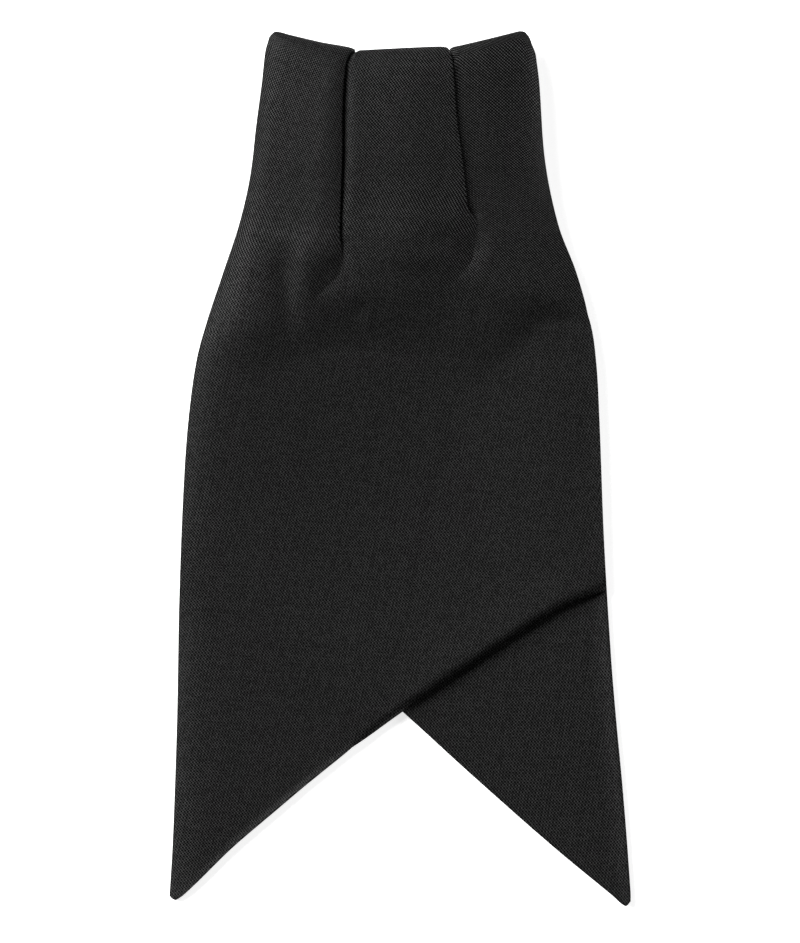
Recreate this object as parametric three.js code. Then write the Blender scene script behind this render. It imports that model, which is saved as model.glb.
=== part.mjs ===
// A clip-on cravat lying face up on a flat surface, in millimetres, +Z up.
// +Y points to the pleated top and +X to the right as the cravat is seen from the front.
// The origin is under the middle of its outline, on the surface.
//
// Two blades of black cloth hang from one pleated top. Each is a wall of cloth with its lower edge cut
// on the slant: the front one ends in a long left tip, the back one in a long right tip. The front blade
// is laid in two knife pleats, rolled over the top and turned in at the back, where a bent metal clip sits.

import * as THREE from 'three';

// Driving dimensions
const WALL = 1.0; // the cloth of a blade, doubled and pressed
const GAP = 0.3; // clear air between one piece of cloth and the next
const PITCH = WALL + GAP; // from one layer of cloth to the next
const TOP_LINE = 115.2; // height of the top corners above the middle of the outline
const PLEAT_ZONE = 79; // length of the top that is pleated or puffed
const HEM_LINE = 102.5; // where the turned-over cloth ends at the back
const CLOTH_WIDTH = 112; // the front cloth before pleating

// How the cloth lies
const RAISED = { low: 38, high: 85 }; // the back blade lies on the surface, and level over the clip
const SAG = { depth: 1.4, from: 1, run: 16 }; // beside the clip its sides hang lower, over this run
const PUFF = { height: 1.0, fullness: 2.5, low: 36, high: 50 }; // the pleated top stands proud of it
const PUFF_TOP = { share: 0.6, low: 100, high: 115 }; // but less so at its top edge
const SETTLE = { from: 1, to: 28 }; // beyond the back blade the front one comes down to the surface
const EDGE_LIFT = { height: 1.5, row: 0.75, left: [0.45, 0.7], right: [0.9, 1.02] }; // the front edge lifts

// The roll over the top, and the pleats
const ROLL_DEPTH = 8; // the front wall starts to roll over about this far below the top line
const ROLL_SIDE = 2; // and this far at its thin side edges
const PLEAT_MARGIN = 1; // from a fold to the first of the cloth that shows beside it
const STEP_RUN = 0.3; // the shortest run between the two bends of a pleat
const NOSE_HALF = 0.75; // the least height of a nose, above or below its middle
const PANEL_DIP = 0.2; // a panel beside a pleat dips at the top over this share of its width
const OPENED = { from: 50, to: 77 }; // the columns spread out to an even spacing between these depths
const FADED = { from: 58, to: 79 }; // and what is left of the folds goes flat

// The panels beside the pleats: where a panel has climbed onto its pleat, as a share of its width, and how it
// swells: the place of its crest, as a power of that share, and its height by rows
const LEFT_CLIMB = { from: 0, to: 0.55 };
const MIDDLE_CLIMB = { from: 0.1, to: 0.7 };
const LEFT_CROWN = { skew: 1.7, column: 'left' };
const MIDDLE_CROWN = { skew: 0.7, column: 'middle' };
const RIGHT_CROWN = { skew: 1, column: 'right' };
const CROWNS = [
  { y: 115.2, left: 0, middle: 0, right: 0 },
  { y: 107.2, left: 0, middle: 0, right: 0 },
  { y: 92, left: 1.5, middle: 0.9, right: 0.5 },
  { y: 75, left: 2.0, middle: 1.2, right: 0.7 },
  { y: 62, left: 1.8, middle: 1.2, right: 0.7 },
  { y: 48, left: 0.7, middle: 0.5, right: 0.3 },
  { y: 36.2, left: 0, middle: 0, right: 0 },
];

// Rows of the front blade's grid, and its columns from left to right: how many, and how much of the cloth
const ROLL_STEPS = 8;
const PLEAT_STEPS = 21;
const BLADE_STEPS = 13;
const COLUMNS = [
  { part: 'left', steps: 7, cloth: 19 },
  { part: 'leftNose', steps: 4, cloth: 6 },
  { part: 'leftUnder', steps: 1, cloth: 5 },
  { part: 'leftInner', steps: 4, cloth: 4 },
  { part: 'leftCovered', steps: 2, cloth: 8 },
  { part: 'middle', steps: 9, cloth: 27 },
  { part: 'rightNose', steps: 4, cloth: 2 },
  { part: 'rightUnder', steps: 2, cloth: 7 },
  { part: 'rightInner', steps: 4, cloth: 4 },
  { part: 'rightCovered', steps: 2, cloth: 8 },
  { part: 'right', steps: 7, cloth: 22 },
];

// Rows and columns of the back blade's grid
const BACK_STEPS = { rows: 22, columns: 14 };

// The clip: a base plate against the cloth, bent back below it into a narrower tongue with a flared end
const CLIP = {
  metal: 0.8,
  height: 3.8,
  width: 40,
  top: 102,
  low: 83,
  cornerIn: 1.5,
  cornerUp: 1.5,
  turns: 8,
  across: 4,
};
// Its tongue rises towards the plate to pinch a collar, and flares away from it at its narrowed end
const TONGUE = { width: 34, low: 88, pinch: 1.3, pinched: 4.5, flare: 3.5, clear: 1 };
const TONGUE_CORNER = { up: 1.4, rise: 0.4, in: 0.5, endIn: 3 };

// The side edges of the front blade: the height of a row above the middle, and where its edges lie
const FRONT_LEFT = [
  { y: 115.2, x: -33.4 },
  { y: 102.3, x: -36.1 },
  { y: 77.1, x: -39.2 },
  { y: 64.5, x: -42.1 },
  { y: 39.3, x: -50.5 },
  { y: 14.2, x: -55.5 },
  { y: -23.6, x: -57.8 },
  { y: -74.0, x: -58.6 },
  { y: -112.8, x: -60.5 },
];
const FRONT_RIGHT = [
  { y: 115.2, x: 32.7 },
  { y: 102.3, x: 36.1 },
  { y: 77.1, x: 38.4 },
  { y: 64.5, x: 41.3 },
  { y: 51.9, x: 46.0 },
  { y: 39.3, x: 49.2 },
  { y: 26.8, x: 50.8 },
  { y: -31.2, x: 53.3 },
];
const BACK_LEFT = [
  { y: 100.7, x: -35.2 },
  { y: 64.5, x: -40.8 },
  { y: 39.3, x: -49.0 },
  { y: 14.2, x: -54.0 },
  { y: -14.2, x: -55.4 },
];
const BACK_RIGHT = [
  { y: 100.7, x: 35.2 },
  { y: 64.5, x: 40.6 },
  { y: 39.3, x: 49.4 },
  { y: 26.8, x: 51.3 },
  { y: -17.3, x: 53.1 },
  { y: -61.4, x: 56.0 },
  { y: -114.9, x: 60.5 },
];

// The lower edges, by their place between the left end (0) and the right end (1)
const FRONT_LOWER_EDGE = [
  { u: 0, y: -112.8 },
  { u: 0.14, y: -99.3 },
  { u: 0.33, y: -80.9 },
  { u: 0.51, y: -65.0 },
  { u: 0.73, y: -48.0 },
  { u: 0.89, y: -36.6 },
  { u: 1, y: -31.3 },
];
const BACK_LOWER_EDGE = [
  { u: 0, y: -13.6 },
  { u: 0.5, y: -65.2 },
  { u: 0.64, y: -80.0 },
  { u: 0.82, y: -98.4 },
  { u: 1, y: -114.9 },
];

// The top edge, which the pleats draw down in the middle
const TOP_EDGE = [
  { x: -33.4, y: 114.9 },
  { x: -16.1, y: 110.9 },
  { x: -11.5, y: 110.1 },
  { x: 12.0, y: 110.9 },
  { x: 22.2, y: 112.8 },
  { x: 32.7, y: 114.9 },
];

// A pleat by rows: where its fold lies, how far its cloth reaches under it, how high the fold stands over the
// cloth beside it, how far its nose rounds over, the radius of its inner bend, how far both bends turn as a
// share of a half turn, and how high the cloth beside the fold swells
const LEFT_PLEAT = [
  { y: 115.2, x: -13.4, depth: 7.8, height: 2.9, nose: 0.7, bend: 0.7, turn: 1, bank: 0 },
  { y: 107.2, x: -14.5, depth: 8.0, height: 2.9, nose: 0.7, bend: 0.7, turn: 1, bank: 0 },
  { y: 97, x: -15.2, depth: 8.5, height: 3.2, nose: 1.4, bend: 0.65, turn: 1, bank: 0.9 },
  { y: 84, x: -14.9, depth: 8.0, height: 3.5, nose: 2.0, bend: 0.65, turn: 1, bank: 1.9 },
  { y: 72, x: -15.4, depth: 5.5, height: 3.2, nose: 1.5, bend: 0.65, turn: 1, bank: 2.3 },
  { y: 63, x: -16.4, depth: 3.5, height: 3.0, nose: 1.0, bend: 0.65, turn: 0.9, bank: 2.5 },
  { y: 57, x: -17.6, depth: 2.5, height: 2.4, nose: 1.2, bend: 0.8, turn: 0.55, bank: 2.1 },
  { y: 50, x: -19.0, depth: 2.5, height: 1.3, nose: 2.0, bend: 1.6, turn: 0.3, bank: 1.0 },
  { y: 43, x: -20.5, depth: 2.5, height: 0.6, nose: 3.0, bend: 2.2, turn: 0.15, bank: 0.3 },
  { y: 36.2, x: -21.0, depth: 2.5, height: 0.2, nose: 4.0, bend: 2.4, turn: 0.1, bank: 0 },
];
const RIGHT_PLEAT = [
  { y: 115.2, x: 13.0, depth: 7.8, height: 2.9, nose: 0.7, bend: 0.7, turn: 1, bank: 0 },
  { y: 107.2, x: 13.7, depth: 8.0, height: 2.9, nose: 0.7, bend: 0.7, turn: 1, bank: 0 },
  { y: 95, x: 14.5, depth: 8.5, height: 2.8, nose: 0.75, bend: 0.65, turn: 1, bank: 0.2 },
  { y: 82, x: 16.0, depth: 6.0, height: 2.8, nose: 0.75, bend: 0.65, turn: 1, bank: 0.5 },
  { y: 74, x: 17.0, depth: 2.0, height: 2.8, nose: 0.75, bend: 0.65, turn: 1, bank: 1.1 },
  { y: 67, x: 18.0, depth: 1.5, height: 2.2, nose: 0.8, bend: 0.7, turn: 0.5, bank: 1.7 },
  { y: 59, x: 19.0, depth: 2.0, height: 1.0, nose: 2.0, bend: 1.5, turn: 0.25, bank: 1.1 },
  { y: 48, x: 20.0, depth: 2.0, height: 0.4, nose: 3.0, bend: 2.2, turn: 0.12, bank: 0.3 },
  { y: 36.2, x: 20.0, depth: 2.0, height: 0.1, nose: 4.0, bend: 2.4, turn: 0.1, bank: 0 },
];
const LEFT_BANK = 3.6; // the cloth beside the left fold swells up over this width
const RIGHT_BANK = 4.6; // and beside the right one over this

// Dents (negative) and swells of the front blade, each an oval with soft edges, turned by an angle
const RELIEF = [
  { x: -20.5, y: 52.5, long: 6.5, wide: 2.6, turn: 65, height: -1.0 }, // pocket under the left pleat
  { x: -31.5, y: 42.0, long: 12.0, wide: 4.0, turn: 95, height: -1.2 }, // the valley down the left side
];

const CLOTH = new THREE.MeshStandardMaterial({ color: 0x1c1c1e, roughness: 0.85, metalness: 0 });
const METAL = new THREE.MeshStandardMaterial({ color: 0xb9bbbe, roughness: 0.35, metalness: 1 });

const lerp = THREE.MathUtils.lerp;
const smooth = (from, to, value) => THREE.MathUtils.smoothstep(value, from, to);

// A smooth curve through the rows of a table: the value of one column at a place in another
function curve(table, along, column) {
  const rows = [...table].sort((a, b) => a[along] - b[along]);
  const slope = (i) => {
    const before = rows[Math.max(i - 1, 0)];
    const after = rows[Math.min(i + 1, rows.length - 1)];
    return (after[column] - before[column]) / (after[along] - before[along]);
  };
  return (place) => {
    let i = rows.findIndex((row) => row[along] > place) - 1;
    if (place <= rows[0][along]) i = 0;
    if (i < 0) i = rows.length - 2;
    const width = rows[i + 1][along] - rows[i][along];
    const s = THREE.MathUtils.clamp((place - rows[i][along]) / width, 0, 1);
    const start = rows[i][column];
    const end = rows[i + 1][column];
    const bend = s * (1 - s) * width * ((1 - s) * slope(i) - s * slope(i + 1));
    return lerp(start, end, s * s * (3 - 2 * s)) + bend;
  };
}

const frontLeft = curve(FRONT_LEFT, 'y', 'x');
const frontRight = curve(FRONT_RIGHT, 'y', 'x');
const backLeft = curve(BACK_LEFT, 'y', 'x');
const backRight = curve(BACK_RIGHT, 'y', 'x');
const frontLowerEdge = curve(FRONT_LOWER_EDGE, 'u', 'y');
const backLowerEdge = curve(BACK_LOWER_EDGE, 'u', 'y');
const topEdge = curve(TOP_EDGE, 'x', 'y');

// A closed wall of even thickness on both sides of a grid of points, given as rows of columns
function wall(grid, thickness) {
  const rows = grid.length;
  const columns = grid[0].length;
  const positions = [];
  for (const side of [1, -1]) {
    for (let r = 0; r < rows; r++) {
      for (let c = 0; c < columns; c++) {
        const across = grid[r][Math.min(c + 1, columns - 1)].clone().sub(grid[r][Math.max(c - 1, 0)]);
        const down = grid[Math.min(r + 1, rows - 1)][c].clone().sub(grid[Math.max(r - 1, 0)][c]);
        const normal = down.cross(across).normalize();
        const point = grid[r][c].clone().addScaledVector(normal, (side * thickness) / 2);
        positions.push(point.x, point.y, point.z);
      }
    }
  }
  const index = [];
  const at = (r, c, side) => side * rows * columns + r * columns + c;
  const quad = (a, b, c, d) => index.push(a, b, c, a, c, d);
  for (let r = 0; r + 1 < rows; r++) {
    for (let c = 0; c + 1 < columns; c++) {
      quad(at(r, c, 0), at(r + 1, c, 0), at(r + 1, c + 1, 0), at(r, c + 1, 0));
      quad(at(r, c, 1), at(r, c + 1, 1), at(r + 1, c + 1, 1), at(r + 1, c, 1));
    }
  }
  for (let r = 0; r + 1 < rows; r++) {
    const last = columns - 1;
    quad(at(r, 0, 0), at(r, 0, 1), at(r + 1, 0, 1), at(r + 1, 0, 0));
    quad(at(r, last, 0), at(r + 1, last, 0), at(r + 1, last, 1), at(r, last, 1));
  }
  for (let c = 0; c + 1 < columns; c++) {
    const last = rows - 1;
    quad(at(0, c, 0), at(0, c + 1, 0), at(0, c + 1, 1), at(0, c, 1));
    quad(at(last, c, 0), at(last, c, 1), at(last, c + 1, 1), at(last, c + 1, 0));
  }
  const geometry = new THREE.BufferGeometry();
  geometry.setAttribute('position', new THREE.Float32BufferAttribute(positions, 3));
  geometry.setIndex(index);
  geometry.computeVertexNormals();
  return geometry;
}

// The middle of the back wall: level over the clip, sagging at the sides, flat on the surface lower down
function backHeight(x, y) {
  const raised = smooth(RAISED.low, RAISED.high, y);
  const level = CLIP.height + GAP + WALL / 2;
  const beside = Math.abs(x) - CLIP.width / 2 - SAG.from;
  const sag = SAG.depth * smooth(0, SAG.run, beside);
  return WALL / 2 + raised * (level - WALL / 2 - sag);
}

// How far a point lies below the slanting edge of the back blade, measured down the front blade
function beyondBackBlade(x, y) {
  const left = backLeft(BACK_LOWER_EDGE.at(0).y);
  const right = backRight(BACK_LOWER_EDGE.at(-1).y);
  return backLowerEdge(THREE.MathUtils.clamp((x - left) / (right - left), 0, 1)) - y;
}

// The middle of the front wall before its pleats: over the back wall, puffed at the top
function frontHeight(x, y) {
  const half = (frontRight(y) - frontLeft(y)) / 2;
  const across = Math.min(Math.abs(x / half), 1);
  const upper = lerp(1, PUFF_TOP.share, smooth(PUFF_TOP.low, PUFF_TOP.high, y));
  const puff = PUFF.height * (1 - across ** PUFF.fullness) * smooth(PUFF.low, PUFF.high, y) * upper;
  const resting = 1 - smooth(SETTLE.from, SETTLE.to, beyondBackBlade(x, y));
  let relief = 0;
  for (const dent of RELIEF) {
    const angle = THREE.MathUtils.degToRad(dent.turn);
    const along = (x - dent.x) * Math.cos(angle) + (y - dent.y) * Math.sin(angle);
    const side = -(x - dent.x) * Math.sin(angle) + (y - dent.y) * Math.cos(angle);
    relief += dent.height * Math.exp(-((along / dent.long) ** 2) - (side / dent.wide) ** 2);
  }
  return backHeight(x, y) + PITCH * resting + puff + Math.max(relief, -puff);
}

// The columns of the front grid: their panel or part of a pleat, their place in it, and in the flat cloth
function frontColumns() {
  const columns = [];
  let cloth = 0;
  for (const run of COLUMNS) {
    for (let i = columns.length ? 1 : 0; i <= run.steps; i++) {
      columns.push({ part: run.part, s: i / run.steps, cloth: cloth + (run.cloth * i) / run.steps });
    }
    cloth += run.cloth;
  }
  return columns;
}

// The section of a pleat, from the panel on top to the cloth that comes out beside it: the cloth turns down
// and back round an oval nose, runs under the panel, and turns forward again round a small inner bend.
// Where the pleat lets go, both turn less and it is only a step.
function pleatSection(table, y) {
  const row = {};
  for (const column of Object.keys(table[0])) row[column] = curve(table, 'y', column)(y);
  const { nose, bend } = row;
  const turn = Math.PI * Math.min(row.turn, 1);
  const half = Math.max(row.height / 2 - bend, NOSE_HALF);
  const slope = Math.atan2(half * Math.sin(turn), nose * Math.cos(turn));
  const run = Math.max(row.depth - nose - bend, STEP_RUN);
  const noseEnd = { x: nose * Math.sin(turn), h: half * (Math.cos(turn) - 1) };
  const runEnd = { x: noseEnd.x + run * Math.cos(slope), h: noseEnd.h - run * Math.sin(slope) };
  const end = { x: runEnd.x + bend * Math.sin(slope), h: runEnd.h + bend * (Math.cos(slope) - 1) };
  const reach = Math.max(nose, end.x) + PLEAT_MARGIN;
  const stretch = -row.height / end.h;
  const raw = (part, s) => {
    switch (part) {
      case 'Nose':
        return { x: nose * Math.sin(turn * s), h: half * (Math.cos(turn * s) - 1) };
      case 'Under':
        return { x: lerp(noseEnd.x, runEnd.x, s), h: lerp(noseEnd.h, runEnd.h, s) };
      case 'Inner': {
        const left = slope * (1 - s);
        const x = runEnd.x + bend * (Math.sin(slope) - Math.sin(left));
        return { x, h: runEnd.h + bend * (Math.cos(slope) - Math.cos(left)) };
      }
      default:
        return { x: lerp(end.x, reach, s), h: end.h };
    }
  };
  const start = row.x - WALL / 2 - nose;
  const point = (part, s) => {
    const { x, h } = raw(part, s);
    return { x: start + x, h: row.height + h * stretch };
  };
  return { start, end: start + reach, height: row.height, bank: row.bank, point };
}

// How high a panel swells between its edges, at a share of its width
const crown = (panel, y, s) => curve(CROWNS, 'y', panel.column)(y) * Math.sin(Math.PI * s ** panel.skew);

// How high the cloth beside a fold has swelled, at a distance from it
const bank = (section, width, distance) => {
  const share = Math.min(distance / width, 1);
  return section.bank * Math.sin((Math.PI / 2) * share);
};

// One row of the pleated top, by its distance below the top line. Each column has its place across, its
// height over the unpleated wall, and the height of the outermost layer beside it. The roll over the top
// takes its side edges from another row.
function pleatedRow(columns, t, edges = t) {
  const left = frontLeft(TOP_LINE - edges);
  const right = frontRight(TOP_LINE - edges);
  const y = TOP_LINE - t;
  const opened = smooth(OPENED.from, OPENED.to, t);
  const faded = smooth(FADED.from, FADED.to, t);
  const first = pleatSection(LEFT_PLEAT, y);
  const second = pleatSection(RIGHT_PLEAT, y);
  return columns.map(({ part, s, cloth }) => {
    let x = 0;
    let h = 0;
    let outer = 0;
    if (part === 'left') {
      x = lerp(left, first.start, s);
      h = first.height * smooth(LEFT_CLIMB.from, LEFT_CLIMB.to, s) + crown(LEFT_CROWN, y, s);
      outer = h;
    } else if (part === 'middle') {
      x = lerp(first.end, second.start, s);
      const swell = bank(first, LEFT_BANK, x - first.end) * (1 - s);
      const climbed = second.height * smooth(MIDDLE_CLIMB.from, MIDDLE_CLIMB.to, s);
      h = climbed + swell + crown(MIDDLE_CROWN, y, s);
      outer = Math.max(h, first.height * (1 - smooth(0, PANEL_DIP, s)));
    } else if (part === 'right') {
      x = lerp(second.end, right, s);
      h = bank(second, RIGHT_BANK, x - second.end) * (1 - s) + crown(RIGHT_CROWN, y, s);
      outer = Math.max(h, second.height * (1 - smooth(0, PANEL_DIP, s)));
    } else {
      const side = part.startsWith('left') ? 'left' : 'right';
      const section = side === 'left' ? first : second;
      ({ x, h } = section.point(part.slice(side.length), s));
      outer = section.height;
    }
    const open = lerp(left, right, cloth / CLOTH_WIDTH);
    return { x: lerp(x, open, opened), h: h * (1 - faded), outer };
  });
}

// Rows of the front blade, from the hem at the back over the top and down to the slanting edge
function frontGrid() {
  const columns = frontColumns();
  const grid = [];
  // the roll over the top: every layer of a pleat goes round it outside the layer below
  const roll = (turn) => {
    const t = ROLL_DEPTH * (1 - Math.min((2 * turn) / Math.PI, 1));
    const edges = ROLL_SIDE * (1 - Math.sin(turn));
    return pleatedRow(columns, t, edges).map(({ x, h, outer }) => {
      const back = backHeight(x, TOP_LINE);
      const radius = (frontHeight(x, TOP_LINE - ROLL_DEPTH) - back) / 2;
      const centre = topEdge(x) - WALL / 2 - radius - outer;
      const y = centre + (radius + h) * Math.sin(turn);
      return new THREE.Vector3(x, y, back + radius + (radius + h) * Math.cos(turn));
    });
  };
  grid.push(roll(Math.PI).map((point) => new THREE.Vector3(point.x, HEM_LINE, point.z)));
  for (let i = ROLL_STEPS; i >= 0; i--) grid.push(roll((Math.PI * i) / ROLL_STEPS));
  for (let i = 0; i <= PLEAT_STEPS; i++) {
    const t = lerp(ROLL_DEPTH + 1, PLEAT_ZONE, i / PLEAT_STEPS);
    const drop = (1 - t / PLEAT_ZONE) ** 2;
    grid.push(
      pleatedRow(columns, t).map(({ x, h }) => {
        const y = TOP_LINE - t - (TOP_LINE - topEdge(x)) * drop;
        return new THREE.Vector3(x, y, frontHeight(x, y) + h);
      }),
    );
  }
  const start = TOP_LINE - PLEAT_ZONE;
  for (let i = 1; i <= BLADE_STEPS; i++) {
    const q = i / BLADE_STEPS;
    const left = frontLeft(lerp(start, frontLowerEdge(0), q));
    const right = frontRight(lerp(start, frontLowerEdge(1), q));
    grid.push(
      columns.map(({ cloth }) => {
        const u = cloth / CLOTH_WIDTH;
        const x = lerp(left, right, u);
        const y = lerp(start, frontLowerEdge(u), q);
        const along = smooth(...EDGE_LIFT.left, u) * (1 - smooth(...EDGE_LIFT.right, u));
        const lift = EDGE_LIFT.height * smooth(EDGE_LIFT.row, 1, q) * along;
        return new THREE.Vector3(x, y, frontHeight(x, y) + lift);
      }),
    );
  }
  return grid;
}

function backGrid() {
  const grid = [];
  const top = HEM_LINE - GAP;
  for (let i = 0; i <= BACK_STEPS.rows; i++) {
    const q = i / BACK_STEPS.rows;
    const left = backLeft(lerp(top, backLowerEdge(0), q));
    const right = backRight(lerp(top, backLowerEdge(1), q));
    const row = [];
    for (let j = 0; j <= BACK_STEPS.columns; j++) {
      const u = j / BACK_STEPS.columns;
      const x = lerp(left, right, u);
      const y = lerp(top, backLowerEdge(u), q);
      row.push(new THREE.Vector3(x, y, backHeight(x, y)));
    }
    grid.push(row);
  }
  return grid;
}

// The clip's strip of metal, from the lower edge of the base plate over the bend to the end of the tongue
function clipGrid() {
  const plate = CLIP.height - CLIP.metal / 2;
  const low = CLIP.metal / 2;
  const radius = (plate - low) / 2;
  const bend = CLIP.top - CLIP.metal / 2 - radius;
  const path = [
    { y: CLIP.low, z: plate, width: CLIP.width - 2 * CLIP.cornerIn },
    { y: CLIP.low + CLIP.cornerUp, z: plate, width: CLIP.width },
    { y: TONGUE.low - TONGUE.clear, z: plate, width: CLIP.width },
    { y: bend - CLIP.cornerUp, z: plate, width: CLIP.width },
  ];
  for (let i = 0; i <= CLIP.turns; i++) {
    const angle = (Math.PI * i) / CLIP.turns;
    const width = lerp(CLIP.width, TONGUE.width, smooth(0, 1, i / CLIP.turns));
    path.push({ y: bend + radius * Math.sin(angle), z: low + radius * (1 + Math.cos(angle)), width });
  }
  const { width } = TONGUE;
  const pinched = low + TONGUE.pinch;
  const corner = lerp(low, pinched, TONGUE_CORNER.rise);
  path.push({ y: TONGUE.low + TONGUE.pinched, z: pinched, width });
  path.push({ y: TONGUE.low + TONGUE.flare, z: pinched, width });
  path.push({ y: TONGUE.low + TONGUE_CORNER.up, z: corner, width: width - 2 * TONGUE_CORNER.in });
  path.push({ y: TONGUE.low, z: low, width: width - 2 * TONGUE_CORNER.endIn });
  return path.map((point) => {
    const row = [];
    for (let i = 0; i <= CLIP.across; i++) {
      row.push(new THREE.Vector3(point.width * (0.5 - i / CLIP.across), point.y, point.z));
    }
    return row;
  });
}

function piece(name, geometry, material) {
  const mesh = new THREE.Mesh(geometry, material);
  mesh.name = name;
  return mesh;
}

const group = new THREE.Group();
group.add(piece('front_blade', wall(frontGrid(), WALL), CLOTH));
group.add(piece('back_blade', wall(backGrid(), WALL), CLOTH));
group.add(piece('clip', wall(clipGrid(), CLIP.metal), METAL));

export default group;
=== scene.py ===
# %% [markdown]
# # A clip-on cravat in black cloth
# The real cravat is two strips of thin black cloth, each doubled and turned so that its edges are round
# and soft. The front strip is laid in two pleats at the top, rolled over to the back and sewn to the plain
# strip behind it, and a small metal clip holds the whole on a collar. We load the built model as a fixed
# frame first, so that every piece we shape lies where the solid one does.

# %% The frame
import math

import bmesh
import bpy
import numpy as np
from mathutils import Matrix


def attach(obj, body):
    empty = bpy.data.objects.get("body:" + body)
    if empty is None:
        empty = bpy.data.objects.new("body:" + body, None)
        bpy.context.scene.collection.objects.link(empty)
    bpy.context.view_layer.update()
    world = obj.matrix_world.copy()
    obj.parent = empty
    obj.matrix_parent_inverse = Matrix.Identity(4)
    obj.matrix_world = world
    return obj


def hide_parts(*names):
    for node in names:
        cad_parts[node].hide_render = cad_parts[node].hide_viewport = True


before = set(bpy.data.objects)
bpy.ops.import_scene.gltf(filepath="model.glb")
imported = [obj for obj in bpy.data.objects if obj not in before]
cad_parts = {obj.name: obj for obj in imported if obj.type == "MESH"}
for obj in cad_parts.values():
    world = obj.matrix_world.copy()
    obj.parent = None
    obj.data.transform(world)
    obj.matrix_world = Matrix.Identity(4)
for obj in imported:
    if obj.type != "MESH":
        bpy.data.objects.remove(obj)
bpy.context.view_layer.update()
MM = 0.001

# %% [markdown]
# ## Curves drawn through a few measured places
# A cloth outline is smooth, so a handful of places along it is enough. `through` draws one smooth line
# through the rows of a small table, and `ease` is the soft step that we blend shapes with. Both take whole
# arrays at once, because a blade has many thousand points.

# %% Curves and soft steps


def ease(low, high, value):
    share = np.clip((np.asarray(value, float) - low) / (high - low), 0, 1)
    return share * share * (3 - 2 * share)


def mix(start, end, share):
    return start + (end - start) * share


def through(rows):
    rows = sorted(rows)
    at = np.array([row[0] for row in rows], float)
    value = np.array([row[1] for row in rows], float)
    padded = np.pad(np.arange(len(rows)), 1, mode="edge")
    slope = (value[padded[2:]] - value[padded[:-2]]) / (at[padded[2:]] - at[padded[:-2]])

    def line(place):
        i = np.clip(np.searchsorted(at, place, side="right") - 1, 0, len(at) - 2)
        width = at[i + 1] - at[i]
        share = np.clip((place - at[i]) / width, 0, 1)
        bend = share * (1 - share) * width * ((1 - share) * slope[i] - share * slope[i + 1])
        return mix(value[i], value[i + 1], share * share * (3 - 2 * share)) + bend

    return line


# %% [markdown]
# ## The outlines of the two blades
# All of these are millimetres from the middle of the outline. A side edge says how far across it lies at each
# place up, the top edge how far up at each place across, and a lower edge how far up at each share of the
# width. The top of the front blade is narrow because its cloth lies in pleats there.

# %% Outlines
TOP_LINE = 115.2  # the top corners lie this high
PLEAT_ZONE = 79.0  # length of the top that is pleated or puffed
HEM_LINE = 102.5  # the cloth that is turned over ends here at the back
CLOTH_WIDTH = 112.0  # the front cloth before it is pleated
CLOTH = 1.0  # thickness of a blade: two layers of thin cloth
LAYER = 1.3  # from one blade to the next where they touch

FRONT_LEFT = through([(115.0, -32.9), (114.5, -34.1), (113.3, -34.6), (110.7, -35.3), (102.3, -36.2),
                      (90.5, -37.7), (77.1, -39.3), (64.5, -42.1), (51.9, -46.1), (39.3, -50.3),
                      (28.9, -53.2), (14.2, -55.3), (-2.6, -56.6), (-34.1, -57.9), (-65.6, -58.5),
                      (-97.0, -59.6), (-112, -60.5)])
FRONT_RIGHT = through([(115.1, 32.4), (114.4, 33.8), (113.3, 34.4), (110.7, 35.3), (108.6, 35.6),
                       (102.3, 36.3), (81.3, 37.8), (64.5, 41.3), (51.9, 46.0), (39.3, 49.4),
                       (26.8, 51.1), (-31.2, 53.5)])
BACK_LEFT = through([(102.2, -35.2), (64.5, -40.8), (39.3, -49.0), (14.2, -54.0), (-14.2, -55.4)])
BACK_RIGHT = through([(102.2, 35.2), (64.5, 40.6), (39.3, 49.6), (28.9, 51.3), (13.1, 52.2),
                      (-18.4, 53.4), (-49.8, 55.3), (-65.6, 56.6), (-81.3, 58.1), (-97.0, 59.4),
                      (-111.0, 60.4)])
FRONT_LOWER_EDGE = through([(0, -111.8), (0.012, -112.9), (0.05, -109.4), (0.14, -99.3), (0.24, -89.5),
                            (0.33, -80.9), (0.51, -65.0), (0.73, -48.0), (0.89, -36.6), (1, -31.3)])
BACK_LOWER_EDGE = through([(0, -13.0), (0.5, -65.2), (0.64, -80.0), (0.82, -98.4), (0.957, -111.5),
                           (0.99, -114.6), (1, -113.2)])
TOP_EDGE = through([(-34.5, 114.3), (-32.7, 115.0), (-29.0, 114.1), (-21.1, 112.2), (-13.8, 110.9),
                    (-11.0, 110.1), (-7.5, 110.2), (2.5, 110.7), (10.4, 111.0), (13.0, 110.8),
                    (20.9, 112.5), (26.1, 113.8), (30.0, 114.8), (31.8, 115.1), (34.0, 114.2)])
print("front blade, mm wide at the pleats:", round(float(FRONT_RIGHT(80) - FRONT_LEFT(80)), 1))

# %% [markdown]
# ## How high the back blade lies
# The cravat lies on its back. Over the clip both blades stand a few millimetres up, and lower down they come
# to rest on the surface. We write that as one height for each place. Beside the clip the cloth sags.

# %% The height of the back blade
CLIP_HEIGHT = 3.8
CLIP_HALF = 20.0
SAG_FROM = CLIP_HALF + 1.0  # the cloth sags beside the clip from here, by this height over this run
SAG = 1.4
SAG_RUN = 16.0
RAISED = (38, 85)  # the back blade lies on the surface below the first, level over the clip above the second


def back_height(x, y):
    over_clip = CLIP_HEIGHT + LAYER - CLOTH / 2
    sag = SAG * ease(0, SAG_RUN, np.abs(x) - SAG_FROM)
    return CLOTH / 2 + ease(*RAISED, y) * (over_clip - CLOTH / 2 - sag)


print("back blade, mm high over the clip:", round(float(back_height(0, HEM_LINE)), 2))

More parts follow.
